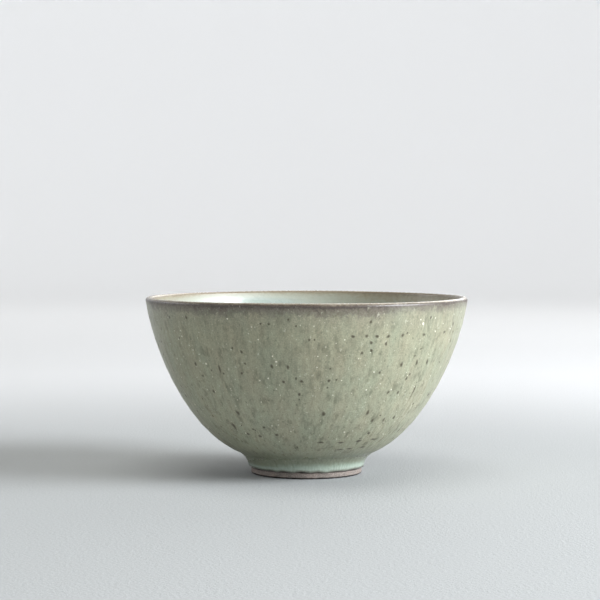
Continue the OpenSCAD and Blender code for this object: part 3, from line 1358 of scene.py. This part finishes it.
@dataclass(frozen=True)
class BareClayFinish:
    """Unglazed fired clay: grey brown with a pink cast, sandy, with lines left by the tool. Its outer
    base edge carries a painted contact shadow, and painted shade darkens it under the glaze's edge.

    Attributes:
        name: The material's name.
        light: Colour of the sand.
        dark: Colour of the clay between.
        pink: Colour where the clay blushed in the fire.
        dark_line_and_shade: Colour of the painted contact shadow at the foot's outer base, and of the
            line under the glaze's edge, which is partly a real dark line and partly painted shade.
        edge: Height of the glaze's edge, in millimetres.
        foot_r: Radius of the foot, in millimetres.
    """

    name: str
    light: Colour = srgb(152, 142, 134)
    dark: Colour = srgb(98, 90, 84)
    pink: Colour = srgb(147, 130, 121)
    dark_line_and_shade: Colour = srgb(58, 52, 46)
    edge: float = 2.6
    foot_r: float = 20.7

    # Heights of the painted contact shadow at the base, and depths of the dark line under the glaze's
    # edge, partly real and partly painted shade; how far in from the foot's side the painted shadow
    # ends, and the lift that ends it there; the height that the ramp spans; and the depths of the
    # relief. All in millimetres.
    CONTACT_SHADOW = (0.0, 0.42, 0.75)
    UNDER_EDGE = (0.55, 0.1)
    SHADOW_IN = (1.5, 0.6)
    SHADOW_LIFT = 0.8
    RAMP_MM = 5.0
    SAND_DEPTH = 0.12
    LINE_DEPTH = 0.14

    def material(self) -> bpy.types.Material:
        """Draw the clay's material.

        Returns:
            The material.
        """
        sketch = Sketch(self.name)
        place = sketch.node("ShaderNodeTexCoord").outputs["Object"]
        place = sketch.stretched(place, (1 / MM, 1 / MM, 1 / MM))
        clouds = {one: sketch.clouds(place, one) for one in (SAND, BLUSH, TOOL_LINE, SCRAPE)}
        colour = self.dark
        for blots in (
            Blots(SAND, 0.3, 0.7, 1.0, self.light),
            Blots(BLUSH, 0.5, 0.7, 0.6, self.pink),
            Blots(TOOL_LINE, 0.54, 0.68, 0.6, self.dark),
            Blots(SCRAPE, 0.56, 0.7, 0.55, self.light),
        ):
            colour = sketch.blotted(colour, clouds[blots.pattern], blots)
        height = sketch.sum(sketch.parts(place)[2], sketch.swinging(clouds[SCRAPE], 0.2, 0.12))
        radius = sketch.reach(sketch.stretched(place, (1, 1, 0)))
        # Lift the height away from the foot's outer edge, so that the painted contact shadow keeps to
        # that edge.
        side, inner = (self.foot_r - inset for inset in reversed(self.SHADOW_IN))
        height = sketch.sum(height, sketch.fitted(radius, inner, side, (self.SHADOW_LIFT, 0)))
        # Painted shade: a contact shadow at the base and, over a real dark line, shade under the
        # glaze's edge.
        shade_and_line = sketch.ramp(sketch.product(height, 1 / self.RAMP_MM), self._painted_shade_stops())
        colour = sketch.mixed(1.0, colour, shade_and_line, "MULTIPLY")
        normal = sketch.bump(clouds[SAND], self.SAND_DEPTH * MM)
        normal = sketch.bump(clouds[TOOL_LINE], self.LINE_DEPTH * MM, over=normal)
        return sketch.finish(colour, sketch.fitted(clouds[SAND], 0.2, 0.8, (0.78, 0.92)), normal)

    def _painted_shade_stops(self) -> list[tuple[float, Colour]]:
        """Stops, as shares of the ramp's height: a painted contact shadow at the base, and a dark line
        under the glaze's edge that is partly real and partly painted shade.
        """
        heights = (*self.CONTACT_SHADOW, *(self.edge - under for under in self.UNDER_EDGE))
        colours = (self.dark_line_and_shade, self.dark_line_and_shade, EVEN, EVEN, self.dark_line_and_shade)
        return [(height / self.RAMP_MM, colour) for height, colour in zip(heights, colours)]


OUTSIDE_FINISH = GlazeFinish("olive_ash_glaze")
LIP_FINISH = GlazeFinish("iron_lip_glaze")
INSIDE_FINISH = GlazeFinish("pale_inner_glaze")
WELL_FINISH = GlazeFinish("pooled_well_glaze")
ROLL_FINISH = GlazeFinish("celadon_roll_glaze")
IRON_FINISH = GlazeFinish("iron_speck_glaze", spot=srgb(60, 50, 32), hold=0.86)
INSIDE_IRON_FINISH = GlazeFinish("inside_spot_glaze", spot=srgb(66, 58, 40), hold=0.85)
GRAIN_FINISH = GlazeFinish("feldspar_grain_glaze", spot=srgb(236, 232, 214), hold=0.9)


# --------------------------------------------------------------------------------------------
# Pieces
# --------------------------------------------------------------------------------------------


@dataclass(frozen=True)
class Coat:
    """One stretch of the glaze.

    Attributes:
        node: The CAD node that the coat stands for.
        slot: Material slot of the record.
        start: Mark where it starts.
        end: Mark where it ends.
        rings: Rings on the visible side.
        finish: Its finish.
        finer: Whether it has twice as many points round a ring as its neighbours.
    """

    node: str
    slot: str
    start: Mark
    end: Mark
    rings: int
    finish: GlazeFinish
    finer: bool = False


COATS = (
    Coat("foot_glaze_roll", "celadon_roll_glaze", Mark.BARE_EDGE, Mark.NECK, 44, ROLL_FINISH),
    Coat("outer_glaze", "olive_ash_glaze", Mark.NECK, Mark.OUTER_BAND, 130, OUTSIDE_FINISH),
    Coat("lip_glaze", "iron_glaze", Mark.OUTER_BAND, Mark.INNER_BAND, 54, LIP_FINISH, finer=True),
    Coat("inner_glaze", "pale_inner_glaze", Mark.INNER_BAND, Mark.WELL_EDGE, 104, INSIDE_FINISH),
    Coat("well_glaze", "pooled_well_glaze", Mark.WELL_EDGE, Mark.AXIS, 66, WELL_FINISH),
)


@dataclass
class GlazeCoats:
    """The stretches of the glaze, each a closed coat over the clay."""

    skin: Skin

    AROUND = 640
    BACK_RINGS = 8
    # Roll at the neck: radius of its lower edge; height, middle and spread of its swell.
    EDGE_R = 0.5
    SWELL = 0.12
    SWELL_AT = 1.1
    SWELL_SPREAD = 0.9

    def build(self) -> None:
        """Build the coats from the foot to the middle of the well."""
        for coat in COATS:
            self._coat(coat)

    def _coat(self, coat: Coat) -> None:
        """Build one coat between its two marks and settle it in place of its CAD node.

        Args:
            coat: The stretch of glaze.
        """
        line = self.skin.line
        start, end = line.marks[coat.start], line.marks[coat.end]
        theta = ring_angles(self.AROUND * 2 if coat.finer else self.AROUND)
        front = np.linspace(start, end, coat.rings)[:, None]
        back = np.linspace(end, start, self.BACK_RINGS)[:, None]
        poles = None
        if coat.end is Mark.AXIS:
            front, back, poles = front[:-1], back[1:], coat.rings - 2
        shape = self._rolled if coat.start is Mark.BARE_EDGE else self.skin.place
        rows = shape(theta, front)
        if coat.finer:
            self._level_borders(rows)
        rows = np.concatenate([rows, self.skin.backing(theta, back)])
        girth = self.skin.girth(theta, np.concatenate([front, back]))
        piece = Turned(f"{coat.node}_coat", rows, girth, len(front), poles).build()
        distance = girth[..., 2].ravel()
        extra = len(piece.data.vertices) - len(distance)
        store_grain(piece, line, np.r_[distance, np.full(extra, line.marks[Mark.AXIS])])
        settle(piece, coat.finish.material(line), coat.slot, coat.node)

    @staticmethod
    def _level_borders(rows: Array) -> None:
        """Set every other point of the border rings midway, so that they meet coarser rings."""
        for end in (0, -1):
            rows[end, 1::2] = (rows[end, ::2] + np.roll(rows[end, ::2], -1, axis=0)) / 2

    def _rolled(self, theta: Array, s: Array) -> Array:
        """Roll of glaze at the neck, whose lower edge is rounded and wanders up and down.

        Formula: the coat's height over the clay falls as a quarter circle at its lower edge and
        swells as a bell curve above it, and each ring is shifted along the line by waves that
        fade out towards the wall.

        Args:
            theta: Angles round the bowl.
            s: Distances along the line.

        Returns:
            Places of the rings.
        """
        reach = self.skin.line.marks[Mark.NECK]
        fade = 1 - s / reach
        shifted = s + ROLL_EDGE(theta, s) * fade**2
        near = np.clip(s / self.EDGE_R, 0, 1)
        drop = -self.EDGE_R * (1 - np.sqrt(1 - (1 - near) ** 2))
        swell = self.SWELL * np.exp(-(((s - self.SWELL_AT) / self.SWELL_SPREAD) ** 2))
        return self.skin.place(theta, np.clip(shifted, 0, None) + 0 * theta, drop + swell)


@dataclass
class FootRing:
    """The turned ring that the bowl stands on: bare clay with tool marks and worn edges."""

    skin: Skin

    AROUND = 512
    # Points of the section over which the relief grows from the ring's top, and millimetres of it
    # in which the scrapes turn by one radian.
    FADE_POINTS = 6
    TURN_MM = 9.0

    def build(self) -> None:
        """Build the ring and settle it in place of its CAD node."""
        path, shown = self._section()
        theta = ring_angles(self.AROUND)
        s = lengths(path)[:, None]
        tangent = np.gradient(path, axis=0)
        tangent /= np.linalg.norm(tangent, axis=1, keepdims=True)
        normal = pairs(-tangent[:, 1], tangent[:, 0])
        grown = np.clip(np.arange(len(path))[:, None] / self.FADE_POINTS, 0, 1)
        relief = TURNING(theta, s) + SCRAPING(theta + s / self.TURN_MM, s)
        relief *= grown * (s < s[shown - 1])
        radius = path[:, :1] + normal[:, :1] * relief
        height = np.maximum(path[:, 1:] + normal[:, 1:] * relief, 0)
        rows = swung(theta, radius, height)[::-1]
        girth = self.skin.girth(theta, np.broadcast_to(-s[::-1], (len(path), self.AROUND)))
        piece = Turned("foot_ring_clay", rows, girth, len(path)).build()
        settle(piece, BareClayFinish("bare_clay").material(), "bare_clay", "foot_ring")

    def _section(self) -> tuple[Array, int]:
        """Half section of the ring, from under the glaze roll round to the floor and back.

        Returns:
            Radii and heights, and how many of the first rings can be seen.
        """
        form = self.skin.form
        edge, recess_r = form.foot_edge, form.recess_r
        neck = form.neck(np.linspace(form.neck_angle_at(form.joint_z), 180, 40), 0.0)
        flat = np.linspace(form.foot_r - edge, recess_r + edge, 22)[1:-1]
        rise = np.linspace(edge, form.joint_z, 30)[1:]
        back = np.linspace(recess_r, neck[0, 0], 6)[1:-1]
        parts = [
            neck,
            edge * along(np.linspace(0, -90, 10)) + [form.foot_r - edge, edge],
            pairs(flat, np.zeros_like(flat)),
            edge * along(np.linspace(-90, -180, 10)) + [recess_r + edge, edge],
            pairs(np.full_like(rise, recess_r), rise),
        ]
        shown = sum(len(part) for part in parts)
        parts.append(pairs(back, np.full_like(back, form.joint_z)))
        return np.concatenate(parts), shown


@dataclass
class RecessGlaze:
    """Thin glaze under the floor and down the inside of the foot."""

    skin: Skin

    AROUND = 224
    CORNER_R = 1.6
    CLAY_GAP = 0.02
    # Radius within which the sag dies away to the axis, and the shares of rings and wobble in it.
    CALM_R = 4.0
    SAG_RINGS = 2.0
    SAG_WOBBLE = 0.6
    # Distance along the glaze line whose tone this glaze has, and the millimetres of its own
    # section in which that distance falls by one.
    TONE_AT = 2.5
    TONE_MM = 20.0

    def build(self) -> None:
        """Build the recess's glaze and settle it in place of its CAD node."""
        path, shown = self._section()
        theta = ring_angles(self.AROUND)
        s = lengths(path)[:, None]
        roof_r = self.skin.form.recess_r - self.skin.form.coat - self.CORNER_R
        shares = np.clip(path[:, :1] / self.CALM_R, 0, 1)
        shares = shares * (np.arange(len(path))[:, None] < shown - 1) * (path[:, :1] < roof_r)
        sag = (THROWING(theta, s) * self.SAG_RINGS + WOBBLE(theta, s) * self.SAG_WOBBLE) * shares
        radius = path[:, :1] + 0 * theta
        rows = swung(theta, radius, path[:, 1:] + sag)
        girth = swung(theta, radius, self.TONE_AT - s / self.TONE_MM)
        turned = Turned("recess_glaze_coat", rows, girth, shown, len(path) - 1, strips=1)
        piece = turned.build()
        line = self.skin.line
        store_grain(piece, line, np.full(len(piece.data.vertices), self.TONE_AT))
        settle(piece, ROLL_FINISH.material(line), "celadon_roll_glaze", "recess_glaze")

    def _section(self) -> tuple[Array, int]:
        """Half section of the glaze, from the axis out and down the wall, then back by the clay.

        Returns:
            Radii and heights, and how many of the first rings can be seen.
        """
        form, corner = self.skin.form, self.CORNER_R
        roof, wall_r = form.joint_z - form.coat, form.recess_r - form.coat
        flat = np.linspace(0, wall_r - corner, 24)[1:]
        turn = along(np.linspace(90, 0, 12))[1:] * corner + [wall_r - corner, roof - corner]
        drop = np.linspace(roof - corner, form.bare_z + form.coat, 8)[1:]
        clay_r, clay_z = form.recess_r - self.CLAY_GAP, form.joint_z - self.CLAY_GAP
        front = [
            pairs(flat, np.full_like(flat, roof)),
            turn,
            pairs(np.full_like(drop, wall_r), drop),
            [[clay_r, form.bare_z]],
        ]
        back = [[clay_r, clay_z], [form.recess_r / 2, clay_z], [flat[0], clay_z]]
        return np.concatenate([*front, back]), sum(len(part) for part in front)


@dataclass(frozen=True)
class SpeckKind:
    """How one kind of speck lies in the glaze.

    Attributes:
        rings: Rings of faces from the heart to the edge.
        around: Points round its outline.
        rise: Height of its middle over the glaze, in millimetres.
        ragged: How uneven its outline is.
    """

    rings: int
    around: int
    rise: float
    ragged: float


IRON = SpeckKind(rings=4, around=12, rise=0.035, ragged=0.22)
GRAIN = SpeckKind(rings=2, around=8, rise=0.05, ragged=0.15)


@dataclass
class Specks:
    """A scatter of small lenses melted into the glaze.

    Attributes:
        skin: The glazed surface.
        name: The piece's name.
        kind: How each speck lies.
        theta: Angle of each speck.
        s: Distance of each speck along the glaze line.
        long: Half length of each speck along the line, in millimetres.
        wide: Half width of each speck round the bowl, in millimetres.
        seed: Seed of the outlines.
    """

    skin: Skin
    name: str
    kind: SpeckKind
    theta: Array
    s: Array
    long: Array
    wide: Array
    seed: int

    # Shares of the outline's two unevennesses, how deep the edge sits and how deep the underside.
    TWO_SIDED = 0.6
    THREE_SIDED = 0.4
    SUNK = 0.012
    ROOT = 0.05

    def build(self, finish: GlazeFinish, slot: str) -> None:
        """Build every speck as a closed lens, in one mesh.

        Formula: in polar coordinates round its middle, a speck reaches out by its half length and
        half width times an uneven outline. Its top rises as one less the square of the distance
        from the middle, and its underside is a shallow cone in the glaze.

        Args:
            finish: The glaze that the specks lie in, with their colour.
            slot: Material slot of the record.
        """
        rng = np.random.default_rng(self.seed)
        count, around, rings = len(self.theta), self.kind.around, self.kind.rings
        turn = np.linspace(0, 2 * np.pi, around, endpoint=False)
        phase = rng.uniform(0, 2 * np.pi, (2, count, 1))
        uneven = self.TWO_SIDED * np.cos(2 * turn + phase[0])
        uneven = uneven + self.THREE_SIDED * np.cos(3 * turn + phase[1])
        outline = 1 + self.kind.ragged * uneven
        share = np.linspace(0, 1, rings + 1)[1:, None]
        reach = share * outline[:, None, :]
        up = reach * np.cos(turn) * self.long[:, None, None]
        side = reach * np.sin(turn) * self.wide[:, None, None]
        radius = self.skin.line.at(self.s)[0][:, 0][:, None, None]
        theta = self.theta[:, None, None] + side / radius
        s = self.s[:, None, None] + up
        lift = self.kind.rise * (1 - share**2) - self.SUNK
        tops = self.skin.place(theta, s, lift + 0 * theta).reshape(count, -1, 3)
        levels = (self.kind.rise, -self.ROOT)
        ends = [self.skin.place(self.theta, self.s, level)[:, None] for level in levels]
        points = np.concatenate([tops, *ends], axis=1)
        girth = self.skin.girth(theta, s).reshape(count, -1, 3)
        middle = self.skin.girth(self.theta, self.s)[:, None]
        girth = np.concatenate([girth, middle, middle], axis=1)
        core = np.broadcast_to(1 - share, (count, rings, around)).reshape(count, -1)
        core = np.concatenate([core, np.ones((count, 1)), np.zeros((count, 1))], axis=1)
        quads, triangles = self._faces(count, rings, around)
        mesh = write_mesh(self.name, points.reshape(-1, 3) * MM, quads, triangles)
        set_vectors(mesh, "girth", girth.reshape(-1, 3))
        set_numbers(mesh, "core", core)
        piece = link(self.name, mesh)
        store_grain(piece, self.skin.line, girth[..., 2].ravel())
        settle(piece, finish.material(self.skin.line), slot)

    @staticmethod
    def _faces(count: int, rings: int, around: int) -> tuple[Array, Array]:
        """Point numbers of the faces of all the lenses.

        Args:
            count: Number of specks.
            rings: Rings of points in each.
            around: Points round each ring.

        Returns:
            The quads between rings, and the triangles at the heart and underneath.
        """
        index = np.arange(rings * around).reshape(rings, around)
        ahead = np.roll(index, -1, axis=1)
        heart, under = rings * around, rings * around + 1
        bands = np.stack([index[1:], ahead[1:], ahead[:-1], index[:-1]], axis=-1).reshape(-1, 4)
        cap = np.stack([index[0], ahead[0], np.full(around, heart)], axis=-1)
        base = np.stack([ahead[-1], index[-1], np.full(around, under)], axis=-1)
        step = (np.arange(count) * (rings * around + 2))[:, None, None]
        quads = (bands[None] + step).reshape(-1, 4)
        triangles = (np.concatenate([cap, base])[None] + step).reshape(-1, 3)
        return quads[:, ::-1], triangles[:, ::-1]


@dataclass(frozen=True)
class SpeckRow:
    """A few specks side by side at one height: angles in degrees, sizes in millimetres."""

    height: float
    angles: tuple[float, ...]
    long: float
    wide: float


IRON_ROWS = (
    SpeckRow(54.5, (-74, -69, -65, -60.5, -54.5, -44, -31), 0.45, 0.55),
    SpeckRow(51.8, (-67, -61), 0.55, 0.42),
    SpeckRow(44.0, (-52, -44, -37.5), 0.85, 0.40),
    SpeckRow(15.3, (-82, -70, -58.5, -48), 0.42, 0.95),
    SpeckRow(12.6, (-61.5, -52, -68), 0.36, 0.95),
    SpeckRow(23.8, (-57, -50, -43.5), 0.65, 0.42),
    SpeckRow(26.5, (-123, -82.5, -61.5), 0.85, 0.48),
    SpeckRow(20.8, (-129.5,), 1.25, 0.55),
    SpeckRow(18.2, (-116, -123, -106, -55), 0.55, 0.48),
    SpeckRow(44.0, (-137, -103, -97), 0.60, 0.42),
    SpeckRow(42.5, (-125,), 1.45, 0.30),
    SpeckRow(33.2, (-39,), 1.60, 0.28),
    SpeckRow(38.6, (-99, -92, -81.5, -47), 0.50, 0.42),
    SpeckRow(33.8, (-132, -93, -54.5, -49), 0.52, 0.42),
    SpeckRow(60.0, (-146, -136, -68, -42), 0.50, 0.38),
    SpeckRow(48.8, (-114, -70, -66.5), 0.50, 0.38),
)

INSIDE_SPOTS = ((71, 51.5), (113, 41.0), (160, 40.5), (189, 49.5), (220, 36.5), (11, 19.5))


@dataclass
class SpeckScatter:
    """All the specks of the bowl: iron spots outside and inside, and pale grains."""

    skin: Skin
    seed: int = 7

    # Iron outside: heights, angles and number of the random spots, on the back and the front, how
    # far the rows stray in height, and how much bigger the soft edge makes a spot than its heart.
    HEIGHTS = (11, 63)
    BACK, BACK_COUNT = (-30, 210), 150
    FRONT, FRONT_COUNT = (-150, -30), 40
    STRAY = 0.3
    SOFT_EDGE = 2.0
    # Their half sizes: usual size, spread of its logarithm and stretch on the back, half length
    # and half width on the front, size and stretch inside.
    BACK_SIZE, BACK_SPREAD, BACK_STRETCH = 0.42, 0.3, (0.8, 1.9)
    FRONT_LONG, FRONT_WIDE = (0.25, 0.45), (0.2, 0.35)
    INSIDE_SIZE, INSIDE_STRETCH = (1.15, 1.5), 1.15
    # Pale grains: their number, the height that they hang from and how far down, and their size.
    GRAIN_COUNT = 400
    GRAIN_TOP, GRAIN_DROP = 62, 51
    GRAIN_SIZE, GRAIN_SPREAD, GRAIN_STRETCH = 0.29, 0.32, (0.8, 1.15)

    def build(self) -> None:
        """Build the three scatters."""
        rng = np.random.default_rng(self.seed)
        self._iron_outside(rng)
        self._iron_inside(rng)
        self._grains(rng)

    def _iron_outside(self, rng: np.random.Generator) -> None:
        """Rows of iron spots on the front, and a random scatter everywhere.

        Args:
            rng: Source of the random draws.
        """
        rows = np.array([
            (angle, row.height + rng.normal(0, self.STRAY), row.long, row.wide)
            for row in IRON_ROWS
            for angle in row.angles
        ])
        angle = rng.uniform(*self.BACK, self.BACK_COUNT)
        height = rng.uniform(*self.HEIGHTS, self.BACK_COUNT)
        size = rng.lognormal(np.log(self.BACK_SIZE), self.BACK_SPREAD, self.BACK_COUNT)
        stretch = np.sqrt(rng.uniform(*self.BACK_STRETCH, self.BACK_COUNT))
        ranges = (self.FRONT, self.HEIGHTS, self.FRONT_LONG, self.FRONT_WIDE)
        front = np.stack([rng.uniform(*ends, self.FRONT_COUNT) for ends in ranges], axis=-1)
        back = np.stack([angle, height, size * stretch, size / stretch], axis=-1)
        angle, height, long, wide = np.concatenate([rows, back, front]).T
        specks = Specks(
            self.skin, "iron_specks", IRON, np.radians(angle), self.skin.line.outside_at(height),
            long * self.SOFT_EDGE, wide * self.SOFT_EDGE, self.seed + 1,
        )
        specks.build(IRON_FINISH, "olive_ash_glaze")

    def _iron_inside(self, rng: np.random.Generator) -> None:
        """The few iron spots that show through the inner glaze.

        Args:
            rng: Source of the random draws.
        """
        angle, radius = np.array(INSIDE_SPOTS).T
        size = rng.uniform(*self.INSIDE_SIZE, len(angle))
        specks = Specks(
            self.skin, "inside_iron_spots", IRON, np.radians(angle),
            self.skin.line.inside_at(radius), size * self.INSIDE_STRETCH, size, self.seed + 2,
        )
        specks.build(INSIDE_IRON_FINISH, "pale_inner_glaze")

    def _grains(self, rng: np.random.Generator) -> None:
        """Pale feldspar grains that break the outer glaze.

        Args:
            rng: Source of the random draws.
        """
        theta = rng.uniform(0, 2 * np.pi, self.GRAIN_COUNT)
        height = self.GRAIN_TOP - self.GRAIN_DROP * rng.beta(1.1, 1.3, self.GRAIN_COUNT)
        size = rng.lognormal(np.log(self.GRAIN_SIZE), self.GRAIN_SPREAD, self.GRAIN_COUNT)
        specks = Specks(
            self.skin, "feldspar_grains", GRAIN, theta, self.skin.line.outside_at(height),
            size * rng.uniform(*self.GRAIN_STRETCH, self.GRAIN_COUNT), size, self.seed + 3,
        )
        specks.build(GRAIN_FINISH, "olive_ash_glaze")


def dress_clay_body() -> None:
    """Give the thrown clay body its material; glaze covers all of it."""
    node = frame["nodes"]["clay_body"]
    node.data.materials.clear()
    node.data.materials.append(BareClayFinish("body_clay").material())
    LOG.info("clay_body: CAD node, dressed as bare clay")


# --------------------------------------------------------------------------------------------
# Studio
# --------------------------------------------------------------------------------------------


@dataclass(frozen=True)
class Lamp:
    """Square soft light that faces the bowl.

    Attributes:
        name: The light's name.
        place: Where it hangs, in metres.
        size: Length of its side, in metres.
        power: Its power, in watts.
        colour: Its colour.
        diffuse: Whether it lights matt surfaces.
        glossy: Whether it is mirrored in shiny ones.
    """

    name: str
    place: Triple
    size: float
    power: float
    colour: Colour = EVEN
    diffuse: bool = True
    glossy: bool = True

    AIM = (0.0, 0.0, 0.03)

    def hang(self) -> None:
        """Put the light into the scene, turned to face the bowl."""
        lamp = bpy.data.lights.new(self.name, "AREA")
        lamp.shape, lamp.size, lamp.energy, lamp.color = "SQUARE", self.size, self.power, self.colour
        holder = link(self.name, lamp)
        holder.visible_camera = False
        holder.visible_diffuse = self.diffuse
        holder.visible_glossy = self.glossy
        holder.location = self.place
        holder.rotation_mode = "QUATERNION"
        aim = Vector(np.array(self.AIM) - np.array(self.place))
        holder.rotation_quaternion = aim.to_track_quat("-Z", "Y")


LAMPS = (
    Lamp("window", (1.146, -0.372, 0.52), 0.70, 34.0, (0.945, 0.972, 1.015)),
    Lamp("skylight", (-0.1, -0.2, 1.7), 1.2, 15.0, (1.0, 0.997, 0.955), glossy=False),
    Lamp("glint", (0.42, 0.95, 0.72), 0.90, 6.5, diffuse=False),
    Lamp("side_glint", (-1.0, 0.35, 0.5), 0.35, 1.6, diffuse=False),
)

# Tooth of the floor's paper, on its places in metres.
PAPER_TOOTH = Pattern(0.0012, 3.0, 0.6)


@dataclass(frozen=True)
class Studio:
    """Pale seamless floor, soft light from the right and a level view of the bowl.

    Attributes:
        distance: From the camera to the bowl's axis, in metres.
        eye_height: Height of the camera over the table, in metres.
        lens: Focal length for a sensor 36 mm wide, in millimetres.
        tilt: How far the camera looks down, in degrees.
        aside: How far the camera stands left of the axis, in metres.
        floor_r: Radius of the floor's level part, in metres.
        sweep_r: Radius of the curve from the floor to the wall, in metres.
        wall_h: Height of the wall, in metres.
    """

    distance: float = 0.720
    eye_height: float = 0.096
    lens: float = 115.5
    tilt: float = 2.487
    aside: float = 0.0024
    floor_r: float = 1.6
    sweep_r: float = 0.8
    wall_h: float = 1.6

    AROUND = 128
    LEVEL_RINGS = (0.05, 0.3, 0.8)
    # The paper is measured from a place just before the bowl: distances over which it turns from
    # grey to white and over which it glows with painted light, and how strongly.
    MIDDLE = (0.0, -0.10, 0.0)
    WHITE_FROM, WHITE_TO = 0.17, 0.60
    LIT_FROM, LIT_TO, LIT = 0.45, 1.40, 0.23

    def build(self) -> None:
        """Build the floor, the lights and the camera."""
        self._floor()
        self._world()
        for lamp in LAMPS:
            lamp.hang()
        self._camera()
        bpy.context.scene.view_settings.view_transform = "Standard"

    def _floor(self) -> None:
        """Round floor that curves up into a wall far behind the bowl.

        Formula: a half section of a level line, a quarter circle and an upright line, turned
        about the axis.
        """
        turn = along(np.linspace(-90, 0, 24)) * self.sweep_r
        sweep = turn + [self.floor_r, self.sweep_r]
        level = [[radius, 0.0] for radius in self.LEVEL_RINGS]
        path = np.concatenate([level, sweep, [[self.floor_r + self.sweep_r, self.wall_h]]])
        around = self.AROUND
        rows = swung(ring_angles(around), path[:, :1], path[:, 1:])
        index = np.arange(len(path) * around).reshape(len(path), around)
        ahead = np.roll(index, -1, axis=1)
        quads = np.stack([index[:-1], index[1:], ahead[1:], ahead[:-1]], axis=-1).reshape(-1, 4)
        middle = len(path) * around
        fan = np.stack([np.full(around, middle), index[0], ahead[0]], axis=-1)
        points = np.concatenate([rows.reshape(-1, 3), [[0.0, 0.0, 0.0]]])
        floor = link("studio_floor", write_mesh("studio_floor", points, quads, fan))
        floor.data.materials.append(self._floor_material())

    def _floor_material(self) -> bpy.types.Material:
        """Pale matt paper with a faint tooth, grey near the bowl and white further off, where it glows
        with painted light.

        Returns:
            The material.
        """
        sketch = Sketch("studio_paper")
        place = sketch.node("ShaderNodeTexCoord").outputs["Object"]
        tooth = sketch.clouds(place, PAPER_TOOTH)
        reach = sketch.reach(place, self.MIDDLE)
        white = sketch.fitted(reach, self.WHITE_FROM, self.WHITE_TO, (0, 1), soft=True)
        painted_glow = sketch.fitted(reach, self.LIT_FROM, self.LIT_TO, (0, self.LIT), soft=True)
        near = sketch.mixed(tooth, srgb(158, 161, 162), srgb(170, 173, 174))
        colour = sketch.mixed(white, near, srgb(216, 217, 219))
        # Painted light: the paper glows more the further it lies from the bowl, lifting the far floor
        # and wall.
        sketch.shader.inputs["Emission Color"].default_value = (*EVEN, 1.0)
        sketch.feed(sketch.shader.inputs["Emission Strength"], painted_glow)
        return sketch.finish(colour, 0.85, sketch.bump(tooth, 0.0002))

    @staticmethod
    def _world() -> None:
        """Even, soft, slightly warm daylight from all round."""
        world = bpy.data.worlds.new("daylight")
        world.use_nodes = True
        background = world.node_tree.nodes["Background"]
        background.inputs["Color"].default_value = (1.0, 0.997, 0.935, 1.0)
        background.inputs["Strength"].default_value = 0.25
        bpy.context.scene.world = world

    def _camera(self) -> None:
        """Camera in front of the bowl, a little above its lip, looking slightly down."""
        lens = bpy.data.cameras.new("camera")
        lens.lens, lens.sensor_width = self.lens, 36.0
        lens.clip_start, lens.clip_end = 0.01, 20.0
        camera = link("camera", lens)
        camera.location = (-self.aside, -self.distance, self.eye_height)
        camera.rotation_euler = (np.radians(90 - self.tilt), 0, 0)
        bpy.context.scene.camera = camera


def main() -> None:
    """Build the bowl's pieces in order, then the studio."""
    logging.basicConfig(level=logging.INFO, format="%(name)s: %(message)s")
    form = BowlForm.from_frame()
    skin = Skin(form, GlazeLine.trace(form))
    GlazeCoats(skin).build()
    FootRing(skin).build()
    RecessGlaze(skin).build()
    SpeckScatter(skin).build()
    dress_clay_body()
    Studio().build()


if __name__ == "__main__":
    main()
